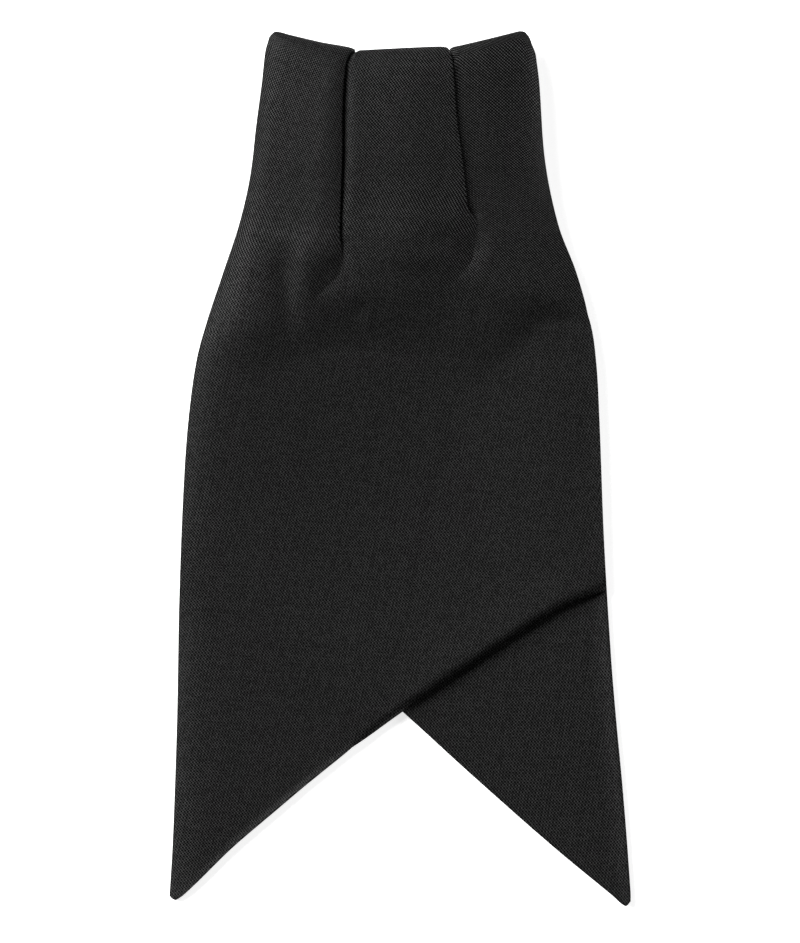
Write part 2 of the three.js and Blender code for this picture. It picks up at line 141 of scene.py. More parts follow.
# %% [markdown]
# ## The soft shape of the front blade
# The front blade is soft, so it is nowhere flat. It arches between its side edges, is bowled further down,
# lies lower along its turned edges than inside them, curls up at the right, and sinks before it rolls over
# the top. We give each of these one curve of heights up the blade, and a shape across where it needs one.

# %% Arch, bowl and turned edges
# Between its side edges the blade arches: how high in each row, and the shape from left (-1) to right (1)
ARCH = through([(115, 0), (80, 0), (56, 0.8), (40, 2.6), (26, 2.6), (10, 1.7), (-6, 0.8), (-20, 0.35),
                (-40, 0.15), (-113, 0)])
ARCH_SHAPE = through([(-1, 0.45), (-0.95, 0.7), (-0.9, 0.85), (-0.84, 0.95), (-0.74, 1), (-0.55, 0.9),
                      (-0.35, 0.72), (0, 0.48), (0.35, 0.3), (0.55, 0.34), (0.75, 0.42), (0.9, 0.34),
                      (1, 0.2)])
# Further down it is bowled: a shallow hollow along its middle
BOWL = through([(115, 0), (36, 0), (16, 1), (-18, 1), (-50, 0), (-113, 0)])
BOWL_SHAPE = through([(-1, 0), (-0.55, 0), (0.2, -0.55), (0.75, 0.1), (1, 0.15)])
# The turned edges lie lower than the cloth inside, by this height; the left one differs from the rest, and
# the right one curls up
RIM = through([(115, 0.9), (100, 1.3), (60, 1.4), (30, 1.5), (-113, 1.4)])
RIM_LEFT = through([(115, 1.0), (100, 1.3), (60, 1.3), (48, 0.8), (30, 0.7), (10, 1.0), (-20, 1.4),
                    (-113, 1.4)])
CURL_RIGHT = through([(115, 1.0), (80, 0.9), (65, 0.6), (50, 0.25), (20, 0.35), (-10, 0.35), (-40, 0.2),
                      (-113, 0.2)])
RIM_NEAR = {"left": 18, "right": 17}  # the higher, the nearer to the edge the change begins
# How the cloth sinks before it rolls over the top, more and more between these rows
TOP_DROP = through([(-36, 0.1), (-18, 0.25), (-12, 0.7), (0, 0.4), (20, 0.7), (36, 1.35)])
TOP_DROP_ROWS = (10.0, 1.4)  # below the top edge
BACK_RIM = 0.5  # the left edge of the back blade lies this much lower than the cloth inside
SETTLE = (1, 28)  # beyond the back blade, the front one comes down to the surface over this length


def edge_shape(x, y, near_left, near_right):
    turned = RIM(y) - RIM_LEFT(y) * near_left ** RIM_NEAR["left"]
    turned = turned + CURL_RIGHT(y) * near_right ** RIM_NEAR["right"]
    start, end = TOP_DROP_ROWS
    return turned - TOP_DROP(x) * np.clip((start - TOP_EDGE(x) + y) / (start - end), 0, 1) ** 2


def beyond_back_blade(x, y):
    left = BACK_LEFT(BACK_LOWER_EDGE(0))
    right = BACK_RIGHT(BACK_LOWER_EDGE(1))
    return BACK_LOWER_EDGE(np.clip((x - left) / (right - left), 0, 1)) - y


# %% [markdown]
# ## The puffed middle
# Below the pleats the cloth they held comes free and swells. We draw the line of its crest and the line
# where it ends below. Above the crest it fades slowly, and a little of it stays up under the pleats.

# %% The puffed middle
PUFF = 3.0
PUFF_ACROSS = through([(-60, 0.2), (-48, 0.32), (-42, 0.45), (-32, 0.72), (-22, 0.84), (-10, 1), (20, 1),
                       (34, 0.85), (46, 0.35), (54, 0.1)])
PUFF_CREST = through([(-60, 40), (-36, 43), (-16, 48.0), (0, 49.8), (10.5, 52.0), (21, 51.0), (36, 47.2),
                      (44, 45)])
PUFF_FOOT = through([(-60, 22), (-36, 25), (-16, 30.5), (0, 29.0), (10.5, 26.0), (18, 21.0), (26, 25.0),
                     (36, 36.0), (42, 38.5), (50, 39.5)])
PUFF_START = 80.0
PUFF_KEPT = 0.16  # the share of its height that stays above that line
PUFF_NEAR = {"left": 14, "right": 8}  # the higher, the nearer to the edge the puff goes


def puff(x, y):
    crest = PUFF_CREST(x)
    above = 1 - (1 - PUFF_KEPT) * ease(crest, PUFF_START, y)
    below = ease(PUFF_FOOT(x), crest, y)
    return PUFF * PUFF_ACROSS(x) * above * below


# %% [markdown]
# ## Folds and dents
# The hand that laid the cravat down left soft marks in it. We draw each as a line of a few places, as a
# finger would, with a width and a height, and let it rise and fade along the line.

# %% Folds and dents
# Half width, height, and a line with the share of that height
MARKS = {
    "hollow under the left pleat": (2.2, -0.6, [(-17.0, 56, 0), (-19.6, 51, 1), (-21.0, 45, 0)]),
    "rim left of the hollow": (2.6, 0.35, [
        (-23.5, 64, 0), (-25.4, 56, 1), (-25.4, 49, 1), (-25.0, 42, 0)]),
    "valley down the left side": (3.4, -1.15, [
        (-30.4, 60, 0), (-30.3, 52, 0.9), (-29.5, 44, 1), (-28.4, 33, 0)]),
    "shoulder left of the valley": (5.0, 0.5, [
        (-40.0, 56, 0), (-41.5, 50, 0.8), (-41.5, 44, 1), (-38.0, 22, 0)]),
    "dent left of the right pleat": (4.0, -0.9, [(5.5, 64, 0), (12, 60, 1), (14.5, 57, 1)]),
    "hollow under the right pleat": (3.0, -0.5, [
        (18.8, 66, 0.5), (20.4, 62.5, 1), (19.8, 58, 1), (17.5, 54, 0.8), (14.5, 51, 0)]),
    "dimple at the right fold's end": (0.9, -0.55, [(17.0, 67.8, 0.7), (19.4, 66.9, 1), (21.0, 65.6, 0)]),
    "spot under the left pleat": (2.6, -0.5, [(-13.5, 44, 0.2), (-10.8, 42.0, 1), (-7.5, 40.5, 0.2)]),
}


def marks(x, y):
    total = np.zeros(np.broadcast(x, y).shape)
    for wide, height, line in MARKS.values():
        most = np.zeros(total.shape)
        for (x0, y0, share0), (x1, y1, share1) in zip(line, line[1:]):
            length = (x1 - x0) ** 2 + (y1 - y0) ** 2
            s = np.clip(((x - x0) * (x1 - x0) + (y - y0) * (y1 - y0)) / length, 0, 1)
            away = (x - mix(x0, x1, s)) ** 2 + (y - mix(y0, y1, s)) ** 2
            most = np.maximum(most, mix(share0, share1, s) * np.exp(-away / wide**2))
        total += height * most
    return total


def front_height(x, y, turned=0.0):
    left, right = FRONT_LEFT(y), FRONT_RIGHT(y)
    across = np.clip(np.where(x < 0, -x / left, x / right), -1, 1)
    near_left = np.clip(x / left, 0, 1)
    near_right = np.clip(x / right, 0, 1)
    rim = edge_shape(x, y, near_left, near_right)
    inside = 1 - near_left ** PUFF_NEAR["left"] - near_right ** PUFF_NEAR["right"]
    swell = ARCH(y) * ARCH_SHAPE(across) + BOWL(y) * BOWL_SHAPE(across) + rim + puff(x, y) * inside
    lying = (LAYER + BACK_RIM) * (1 - ease(*SETTLE, beyond_back_blade(x, y)))
    return back_height(x, y) + lying + np.maximum(swell * (1 - turned) + marks(x, y), 0)


across_crest = np.linspace(-45.0, 45.0, 4)
print("front blade, mm high along its crest:", front_height(across_crest, PUFF_CREST(across_crest)).round(1))

# %% [markdown]
# ## The pleats
# A knife pleat is a flat S: the cloth turns back under itself and forward again. Pressed at the top, both
# are thin there. The left one swells to a soft roll below; the right one keeps a crisp fold. Further down
# both let go: the two bends turn less and less, and the hidden cloth comes out as a small pocket. A table
# for each pleat gives one row for each height that matters, and all numbers between come from its curves.

# %% Pleats
# Up and across in the blade, then how deep the cloth goes under, how high the fold stands, the length of its
# nose, the radius of the bend inside, how far both turn (1 is right over), and the swelling beside it
PLEAT_COLUMNS = ("y", "x", "depth", "height", "nose", "bend", "turn", "bank")
LEFT_PLEAT = [
    (115.2, -11.8, 7.0, 1.0, 0.30, 0.25, 1.00, 0.0),
    (107.2, -14.2, 8.0, 1.8, 1.3, 0.30, 1.00, 0.5),
    (97.0, -15.1, 8.5, 2.2, 2.3, 0.45, 1.00, 1.1),
    (84.0, -15.2, 8.0, 2.0, 2.7, 0.45, 1.00, 1.1),
    (72.0, -15.6, 5.5, 1.8, 2.5, 0.45, 1.00, 0.8),
    (64.0, -15.9, 3.5, 1.6, 2.6, 0.45, 0.90, 0.5),
    (61.5, -15.9, 3.0, 1.8, 3.0, 0.45, 0.58, 0.4),
    (58.0, -15.5, 2.5, 1.9, 4.4, 0.45, 0.46, 0.3),
    (54.0, -15.0, 2.5, 1.8, 6.3, 0.55, 0.36, 0.2),
    (50.0, -14.4, 2.5, 1.4, 6.8, 1.00, 0.25, 0.1),
    (47.0, -14.6, 2.5, 1.0, 6.2, 1.60, 0.18, 0.1),
    (42.0, -16.0, 2.5, 0.3, 5.0, 2.20, 0.12, 0.0),
    (36.2, -18.0, 2.5, 0.1, 4.0, 2.40, 0.10, 0.0),
]
RIGHT_PLEAT = [
    (115.2, 12.4, 7.0, 0.9, 0.25, 0.22, 1.00, 0.0),
    (107.2, 13.7, 8.0, 1.1, 0.40, 0.25, 1.00, 0.0),
    (95.0, 14.7, 8.5, 1.4, 1.0, 0.32, 1.00, 0.0),
    (82.0, 16.3, 6.0, 1.5, 1.6, 0.35, 1.00, 0.0),
    (74.0, 17.2, 4.5, 1.6, 2.6, 0.35, 1.00, 0.0),
    (69.5, 17.6, 5.5, 1.7, 4.6, 0.40, 0.85, 0.0),
    (67.3, 18.6, 2.5, 1.8, 6.2, 0.45, 0.56, 0.0),
    (65.6, 20.5, 2.0, 1.8, 8.0, 0.60, 0.38, 0.0),
    (62.0, 22.6, 2.0, 1.8, 11.0, 0.90, 0.27, 0.0),
    (58.0, 23.6, 2.0, 1.5, 11.5, 1.40, 0.21, 0.0),
    (55.0, 23.4, 2.0, 1.2, 11.5, 1.80, 0.20, 0.0),
    (52.0, 21.4, 2.0, 0.6, 10.0, 2.20, 0.16, 0.0),
    (48.0, 18.5, 2.0, 0.2, 7.5, 2.40, 0.12, 0.0),
    (36.2, 15.0, 2.0, 0.1, 4.0, 2.40, 0.10, 0.0),
]
PLEAT_MARGIN = 0.5  # the covering cloth lies flat again this much past the hidden layers
SHORTEST_RUN = 0.25  # the hidden cloth between the two bends is at least this long
NOSE_HALF = 0.2  # and half of the nose at least this high
SKIN = CLOTH / 4  # from the middle of the pressed cloth to its surface, nearly
BANK_WIDTH = {"left": 3.4, "right": 3.0}  # the cloth beside a fold swells up over this width

# Up, and how high the left, middle and right panels are crowned there
CROWNS = [
    (115.2, 0, 0, 0), (107.2, 0, 0.1, -0.1), (92, 0, 0.3, -0.4), (75, 0, 0.3, -0.5),
    (62, 0.1, 0.1, -0.3), (48, 0.1, 0, 0), (36.2, 0, 0, 0),
]
# How the panels climb onto the pleats, by the share of their width
LEFT_CLIMB = through([(0, 0), (0.05, 0.2), (0.14, 0.4), (0.5, 0.57), (0.7, 0.7), (0.92, 0.99), (1, 1)])
MIDDLE_CLIMB = (0.02, 0.72)  # a soft step between these
CREST = {"left": 1.4, "middle": 0.7, "right": 0.7}  # over 1: the crest lies right of a panel's middle


def table_curves(columns, table):
    return {name: through([(row[0], row[i]) for row in table]) for i, name in enumerate(columns)}


PLEAT_CURVES = {
    "left": table_curves(PLEAT_COLUMNS, LEFT_PLEAT),
    "right": table_curves(PLEAT_COLUMNS, RIGHT_PLEAT),
}
CROWN_CURVES = table_curves(("y", "left", "middle", "right"), CROWNS)


def pleat_section(side, y):
    row = {name: float(curve(y)) for name, curve in PLEAT_CURVES[side].items()}
    nose, bend, height = row["nose"], row["bend"], max(row["height"], 0)
    turn = math.pi * min(row["turn"], 1)
    half = max(height / 2 - bend, NOSE_HALF)
    slope = math.atan2(half * math.sin(turn), nose * math.cos(turn))
    run = max(row["depth"] - nose - bend, SHORTEST_RUN)
    nose_end = np.array([nose * math.sin(turn), half * (math.cos(turn) - 1)])
    run_end = nose_end + run * np.array([math.cos(slope), -math.sin(slope)])
    end = run_end + bend * np.array([math.sin(slope), math.cos(slope) - 1])
    reach = max(nose, end[0]) + PLEAT_MARGIN
    stretch = -height / end[1]
    start = row["x"] - SKIN - nose

    def point(part, s):
        if part == "nose":
            across, down = nose * math.sin(turn * s), half * (math.cos(turn * s) - 1)
        elif part == "under":
            across, down = mix(nose_end, run_end, s)
        elif part == "inner":
            left = slope * (1 - s)
            across = run_end[0] + bend * (math.sin(slope) - math.sin(left))
            down = run_end[1] + bend * (math.cos(slope) - math.cos(left))
        else:
            across, down = mix(end[0], reach, s), end[1]
        return start + across, height + down * stretch

    bank_height = max(row["bank"], 0)
    return {"start": start, "end": start + reach, "height": height, "bank": bank_height, "point": point}


def crown(panel, y, s):
    return float(CROWN_CURVES[panel](y)) * math.sin(math.pi * s ** CREST[panel])


def bank(section, side, distance):
    return section["bank"] * math.sin(math.pi / 2 * min(distance / BANK_WIDTH[side], 1))


half_way = pleat_section("left", 84.0)
print("left pleat, mm wide half way down:", round(half_way["end"] - half_way["start"], 2))

# %% [markdown]
# ## One row of the pleated top
# From left to right a row is a panel, a pleat, the middle panel, the second pleat and the right panel. The
# panels climb onto the hidden layers and swell between them. Around the top edge every layer has to pass
# outside the one below, so a row also says how high the outermost layer is at each column.

# %% Columns across the pleated top
OPENED = (62, 79)  # this far below the top the columns spread out to an even spacing
FADED = (58, 79)  # and the folds lie down between these
PANEL_DIP = 0.05  # the share of a panel over which it comes out from under the pleat beside it

# Part, columns, and how much of the unpleated cloth it takes
COLUMNS = [
    ("left", 28, 19), ("left nose", 10, 6), ("left under", 5, 5), ("left inner", 8, 4),
    ("left covered", 5, 8), ("middle", 38, 27), ("right nose", 8, 2), ("right under", 5, 7),
    ("right inner", 8, 4), ("right covered", 5, 8), ("right", 30, 22),
]


def columns():
    found = []
    cloth = 0
    for number, (part, count, width) in enumerate(COLUMNS):
        for i in range(0 if number == 0 else 1, count + 1):
            found.append((part, i / count, cloth + width * i / count))
        cloth += width
    return found


FRONT_COLUMNS = columns()
CLOTH_PLACE = np.array([cloth for _, _, cloth in FRONT_COLUMNS])
print("front blade columns:", len(FRONT_COLUMNS))

# %% A row of the pleated top


def pleated_row(t, side_height=None):
    y = TOP_LINE - t
    left = float(FRONT_LEFT(y if side_height is None else side_height))
    right = float(FRONT_RIGHT(y if side_height is None else side_height))
    first = pleat_section("left", y)
    second = pleat_section("right", y)
    x, h, outer = [], [], []
    for part, s, _ in FRONT_COLUMNS:
        if part == "left":
            x.append(mix(left, first["start"], s))
            h.append(first["height"] * float(LEFT_CLIMB(s)) + crown(part, y, s))
            outer.append(h[-1])
        elif part == "middle":
            x.append(mix(first["end"], second["start"], s))
            swell = bank(first, "left", x[-1] - first["end"]) * (1 - s)
            h.append(second["height"] * ease(*MIDDLE_CLIMB, s) + swell + crown(part, y, s))
            outer.append(max(h[-1], first["height"] * (1 - ease(0, PANEL_DIP, s))))
        elif part == "right":
            x.append(mix(second["end"], right, s))
            h.append(bank(second, "right", x[-1] - second["end"]) * (1 - s) + crown(part, y, s))
            outer.append(max(h[-1], second["height"] * (1 - ease(0, PANEL_DIP, s))))
        else:
            side, piece = part.split()
            section = first if side == "left" else second
            across, up = section["point"](piece, s)
            x.append(across)
            h.append(up)
            outer.append(section["height"])
    flat = left + (right - left) * CLOTH_PLACE / CLOTH_WIDTH
    return mix(np.array(x), flat, ease(*OPENED, t)), np.array(h) * (1 - ease(*FADED, t)), np.array(outer)


# %% [markdown]
# ## The front blade, row by row
# The rows start at the hem behind the top, go over the roll, down the pleats and on to the slanting lower
# edge. The two top corners are rounded, as turned cloth is.

# %% Rows of the front blade
ROLL_STEPS = 16
PLEAT_STEPS = 96
BLADE_STEPS = 104
HEM_STEPS = 4
ROLL_DEPTH = 8.0  # the roll takes up this much of the pleat tables' top
ROLL_LENGTH = 1.8  # it is longer than it is high
SIDE_RADIUS = 1.45  # the roll at its two side edges, which are thin
SIDE_DROP = 0.2  # and lie this much below the top corners
JOIN = 22.0  # rows spread evenly between the roll and this depth
LOWER_RIM = 2.3  # the lower edge is turned over this length
LOWER_TURN = through([(0, -0.2), (0.4, -0.2), (0.5, 1), (1, 1)])  # by this share, from left to right
TURN_POWER = 2.5  # the higher, the closer to its end a turned edge bends
EDGE_LIFT = 0.4  # the right half of the lower edge is lifted
LIFT_ROWS = 0.8  # from this share of the rows down
LIFT_RISE = (0.45, 0.7)  # the lift rises and falls over these shares of the width
LIFT_FALL = (0.9, 1.02)


def roll_row(turn):
    t = ROLL_DEPTH * (1 - min(2 * turn / math.pi, 1))
    side = TOP_LINE - SIDE_DROP - SIDE_RADIUS * (1 - math.sin(turn))
    x, h, outer = pleated_row(t, side)
    back = back_height(x, TOP_LINE)
    radius = (front_height(x, TOP_EDGE(x) - TOP_DROP_ROWS[1]) - back) / 2
    centre = TOP_EDGE(x) - SKIN - ROLL_LENGTH * radius - outer
    y = centre + (ROLL_LENGTH * radius + h) * math.sin(turn)
    return np.column_stack([x, y, back + radius + (radius + h) * math.cos(turn)])


def pleat_row(t):
    share = min((t - ROLL_DEPTH) / (JOIN - ROLL_DEPTH), 1)
    corner = TOP_LINE - SIDE_DROP - SIDE_RADIUS
    side = mix(corner, TOP_LINE - JOIN, share) if share < 1 else TOP_LINE - t
    x, h, _ = pleated_row(t, side)
    depth = max(t, JOIN)
    y = TOP_LINE - depth - (TOP_LINE - TOP_EDGE(x)) * (1 - depth / PLEAT_ZONE) ** 2
    y = mix(roll_row(0)[:, 1], y, share)
    return np.column_stack([x, y, front_height(x, y) + h])


def blade_row(q):
    start = TOP_LINE - PLEAT_ZONE
    share = CLOTH_PLACE / CLOTH_WIDTH
    left = FRONT_LEFT(mix(start, FRONT_LOWER_EDGE(0), q))
    right = FRONT_RIGHT(mix(start, FRONT_LOWER_EDGE(1), q))
    x = mix(left, right, share)
    y = mix(start, FRONT_LOWER_EDGE(share), q)
    lift = EDGE_LIFT * ease(LIFT_ROWS, 1, q) * ease(*LIFT_RISE, share) * (1 - ease(*LIFT_FALL, share))
    from_edge = (y - FRONT_LOWER_EDGE(share)) / LOWER_RIM
    turned = LOWER_TURN(share) * (1 - np.clip(from_edge, 0, 1)) ** TURN_POWER
    return np.column_stack([x, y, front_height(x, y, turned) + lift])


def front_rows():
    first = roll_row(math.pi)
    shares = np.arange(HEM_STEPS) / HEM_STEPS
    rows = [np.column_stack([first[:, 0], mix(HEM_LINE, first[:, 1], s), first[:, 2]]) for s in shares]
    rows += [roll_row(math.pi * i / ROLL_STEPS) for i in range(ROLL_STEPS, -1, -1)]
    rows += [pleat_row(mix(ROLL_DEPTH, PLEAT_ZONE, i / PLEAT_STEPS)) for i in range(1, PLEAT_STEPS + 1)]
    rows += [blade_row(i / BLADE_STEPS) for i in range(1, BLADE_STEPS + 1)]
    return np.array(rows)


FRONT_ROWS = front_rows()
print("front blade rows and columns:", FRONT_ROWS.shape[:2])

# %% [markdown]
# ## The place of each point in the cloth
# Every point also gets its place in the flat strip, in millimetres across and along. We keep that as the UV
# map, so that the weave lies in the cloth: it runs into the pleats and comes out again, and it leans with
# the two outer panels, which the pleats fan out.

# %% The cloth hidden in the pleats
# Cloth hidden in each pleat at this height, and more for each millimetre above it; evened out over CALM
HIDDEN = {"left": (58.0, 3.0, 0.135), "right": (58.0, 2.5, 0.213)}
CALM = 7.0
HIDDEN_PARTS = 3  # of a pleat: under, inner and covered


# Whether a column belongs to an outer panel (1) or not (0); the hidden ones lead over from one to the other
def fan_share(side, part, s):
    order = [name for name, _, _ in COLUMNS]
    place = order.index(part) + s - order.index(side + " under")
    over = float(np.clip(place / HIDDEN_PARTS, 0, 1))
    return 1 - over if side == "left" else over


# The cloth hidden in a pleat varies smoothly down the blade; what our rows hide more or less of is taken out
def calmed(hidden, up):
    parts = [part for part, _, _ in FRONT_COLUMNS]
    added = np.zeros(hidden.shape)
    weights = np.exp(-((up[:, None] - up[None, :]) / CALM) ** 2)
    weights /= weights.sum(axis=1, keepdims=True)
    for side, sign in (("left", 1), ("right", -1)):
        edge = parts.index(side) if side == "right" else len(parts) - 1 - parts[::-1].index(side)
        order = np.array([i for i, part in enumerate(parts) if part.startswith(side + " ")])
        outer = np.arange(edge, len(parts)) if side == "right" else np.arange(0, edge + 1)
        height, amount, growth = HIDDEN[side]
        most = np.where(up > height, amount + growth * (up - height), np.inf)
        own = np.abs(hidden[:, edge])
        change = -sign * (weights @ np.minimum(own, most)) - hidden[:, edge]
        added[:, outer] = change[:, None]
        share = np.array([fan_share(side, parts[i], FRONT_COLUMNS[i][1]) for i in order])
        added[:, order] = change[:, None] * share
    return added


# %% Places in the cloth
# The outer panels are fanned out and stretched: what their cloth adds to a place for each millimetre from the
# end of the pleat, across for one across, along for one across, and along for one along
FAN = {"left": (0.05, 0.10, 0.11), "right": (-0.03, 0.03, 0.145)}
FAN_START = {"left": (-16.0, 45.0), "right": (18.0, 45.0)}
FAN_ROWS = (42, 82)  # it grows between these places up the blade


def cloth_places(rows):
    last = len(rows) - BLADE_STEPS - 1
    centre = int(np.argmin(np.abs(rows[last, :, 0])))
    steps = np.linalg.norm(np.diff(rows, axis=1), axis=2)
    across = np.concatenate([np.zeros((len(rows), 1)), np.cumsum(steps, axis=1)], axis=1)
    across = across - across[:, centre:centre + 1] + rows[last, centre, 0]
    across[:last] += calmed(across[:last] - rows[:last, :, 0], rows[:last, centre, 1])
    climb = np.linalg.norm(np.diff(rows[:last + 1, centre], axis=0), axis=1)
    along = rows[last, centre, 1] + np.concatenate([np.cumsum(climb[::-1])[::-1], [0]])
    places = rows[:, :, :2].copy()
    places[:last, :, 0] = across[:last]
    places[:last, :, 1] = along[:last, None]
    for side, (wider, leaning, longer) in FAN.items():
        fanned = np.array([fan_share(side, part, s) for part, s, _ in FRONT_COLUMNS])
        share = fanned * ease(*FAN_ROWS, rows[:, :, 1])
        share[:HEM_STEPS + ROLL_STEPS + 1] = share[HEM_STEPS + ROLL_STEPS + 1]
        dx = places[:, :, 0] - FAN_START[side][0]
        dy = places[:, :, 1] - FAN_START[side][1]
        places[:, :, 0] += share * wider * dx
        places[:, :, 1] += share * (leaning * dx + longer * dy)
    return places


FRONT_PLACES = cloth_places(FRONT_ROWS)
print("cloth at the top, mm across:", round(float(np.ptp(FRONT_PLACES[HEM_STEPS + ROLL_STEPS, :, 0])), 1))

# %% [markdown]
# ## A sheet from a grid
# Each blade starts as a plane cut into a grid. We move its points to their rows, write the places in the
# cloth into its UV map, give it its thickness with Solidify, and round the cut edges with Bevel, which is
# how a doubled and turned edge looks. A vertex group makes the pressed layers at the top thinner.

# %% A grid with places in the cloth


def deselect():
    bpy.ops.object.select_all(action="DESELECT")


def grid_piece(name, rows, places, thin):
    deselect()
    down, across = rows.shape[:2]
    bpy.ops.mesh.primitive_grid_add(x_subdivisions=across - 1, y_subdivisions=down - 1, size=1)
    piece = bpy.context.object
    piece.name = piece.data.name = name
    mesh = piece.data
    co = np.empty(len(mesh.vertices) * 3)
    mesh.vertices.foreach_get("co", co)
    co = co.reshape(-1, 3)
    column = np.rint((co[:, 0] + 0.5) * (across - 1)).astype(int)
    row = np.rint((0.5 - co[:, 1]) * (down - 1)).astype(int)
    mesh.vertices.foreach_set("co", (rows[row, column] * MM).ravel())
    corner = np.empty(len(mesh.loops), int)
    mesh.loops.foreach_get("vertex_index", corner)
    uv = mesh.uv_layers[0]
    uv.name = "cloth"
    uv.data.foreach_set("uv", (places[row[corner], column[corner]] * MM).ravel())
    group = piece.vertex_groups.new(name="thickness")
    thickness = thin[row, column]
    for value in np.unique(np.round(thickness, 2)):
        chosen = np.nonzero(np.round(thickness, 2) == value)[0]
        group.add(chosen.tolist(), float(value), "REPLACE")
    mesh.update()
    return piece


# %% Thickness and rounded edges
PRESSED_CLOTH = 0.4  # pressed and sewn, the cloth is this thick
THICKENS = (40, 70)  # and it grows to its full thickness between these depths
CLOTH_EDGE = 0.46  # the radius of a turned edge
CLOTH_EDGE_STEPS = 3
SHARP = math.radians(50)  # an edge is rounded where it bends by more than this


def thicken(piece, thickness, radius, steps, even=False, group="", thinnest=0.0):
    solid = piece.modifiers.new("thickness", "SOLIDIFY")
    solid.thickness = thickness * MM
    solid.offset = 0
    solid.use_even_offset = even
    solid.vertex_group = group
    solid.thickness_vertex_group = thinnest
    edge = piece.modifiers.new("rounded edge", "BEVEL")
    edge.width = radius * MM
    edge.segments = steps
    edge.limit_method = "ANGLE"
    edge.angle_limit = SHARP
    for modifier in [solid.name, edge.name]:
        bpy.ops.object.modifier_apply(modifier=modifier)
    bpy.ops.object.shade_smooth()
    print(piece.name, "faces:", len(piece.data.polygons))


def front_blade():
    t = np.concatenate([np.zeros(HEM_STEPS + ROLL_STEPS + 1),
                        np.linspace(ROLL_DEPTH, PLEAT_ZONE, PLEAT_STEPS + 1)[1:],
                        np.full(BLADE_STEPS, PLEAT_ZONE)])
    thin = np.repeat(ease(*THICKENS, t)[:, None], FRONT_ROWS.shape[1], axis=1)
    piece = grid_piece("front_blade_cloth", FRONT_ROWS, FRONT_PLACES, thin)
    thicken(piece, CLOTH, CLOTH_EDGE, CLOTH_EDGE_STEPS, group="thickness", thinnest=PRESSED_CLOTH / CLOTH)
    return piece


front = front_blade()

# %% [markdown]
# ## The back blade
# The back blade is the plain one. It has no pleats, only its sag beside the clip, a left edge that is turned
# down, and a right and a lower edge that curl up a little. It starts at the hem line behind the top and ends
# in the long right tip.

# %% The back blade
BACK_COLUMNS = 100
BACK_ROWS = 170
HEM_GAP = 0.3  # it starts this much below the hem of the front blade
BACK_RIM_LENGTH = 3.5  # its left edge is turned over this length
BACK_CURL = 1.0  # its right and lower edges curl up by this height, over this length
BACK_CURL_LENGTH = 6.0
LOWER_NEARER = 0.7  # a distance from the lower edge counts this much, so its curl is wider


def back_rows():
    rows = []
    share = np.linspace(0, 1, BACK_COLUMNS + 1)
    top = HEM_LINE - HEM_GAP
    for q in np.linspace(0, 1, BACK_ROWS + 1):
        left = BACK_LEFT(mix(top, BACK_LOWER_EDGE(0), q))
        right = BACK_RIGHT(mix(top, BACK_LOWER_EDGE(1), q))
        x = mix(left, right, share)
        y = mix(top, BACK_LOWER_EDGE(share), q)
        turned = (1 - np.clip((x - left) / BACK_RIM_LENGTH, 0, 1)) ** TURN_POWER
        from_edge = np.minimum(right - x, (y - BACK_LOWER_EDGE(share)) * LOWER_NEARER)
        curled = (1 - np.clip(from_edge / BACK_CURL_LENGTH, 0, 1)) ** TURN_POWER
        rim = BACK_RIM * (1 - turned) + BACK_CURL * curled * (1 - turned)
        rows.append(np.column_stack([x, y, back_height(x, y) + rim]))
    return np.array(rows)


BACK_POINTS = back_rows()
back = grid_piece("back_blade_cloth", BACK_POINTS, BACK_POINTS[:, :, :2], np.ones(BACK_POINTS.shape[:2]))
thicken(back, CLOTH, CLOTH_EDGE, CLOTH_EDGE_STEPS, group="thickness")

# %% [markdown]
# ## The clip
# The clip is one strip of sheet metal: a plate under the cloth, a half turn at the top, and a narrower
# spring tongue that dips towards the plate and flares at its end so that a collar band slides in. We draw
# the strip as a plane, spin its top edge round, pull the tongue out edge by edge, then give it thickness.

# %% Picking edges and corners of the clip
NEARLY = 0.1  # millimetres: what is this close to a line lies on it


def select_edge(piece, wanted):
    net = bmesh.from_edit_mesh(piece.data)
    for edge in net.edges:
        edge.select = all(wanted(vertex.co.y) for vertex in edge.verts)
    net.select_flush_mode()
    bmesh.update_edit_mesh(piece.data)


def select_corners(piece, low):
    bpy.context.tool_settings.mesh_select_mode = (True, False, False)
    net = bmesh.from_edit_mesh(piece.data)
    for vertex in net.verts:
        vertex.select = vertex.co.y < (low + NEARLY) * MM
    net.select_flush_mode()
    bmesh.update_edit_mesh(piece.data)


def widen(before, after):
    bpy.ops.transform.resize(value=(after / before, 1, 1), center_override=(0, 0, 0))


# %% The clip
CLIP_METAL = 0.8
CLIP_LENGTHS = (83.0, 100.1)  # the plate, from its lower edge to the start of the bend
CLIP_WIDTHS = (40.0, 34.0)  # plate and tongue
CLIP_BEND = 1.5
CLIP_TURNS = 8
CLIP_CORNER = 2.0
CLIP_CORNER_STEPS = 4
CLIP_EDGE = 0.15  # its edges are only deburred
CLIP_EDGE_STEPS = 2
# How far the tongue goes along and up in each pull, and how wide it is there
TONGUE = [(-7.6, 1.3, 34.0), (-1.0, 0.0, 34.0), (-2.1, -0.78, 33.0), (-1.4, -0.52, 28.0)]


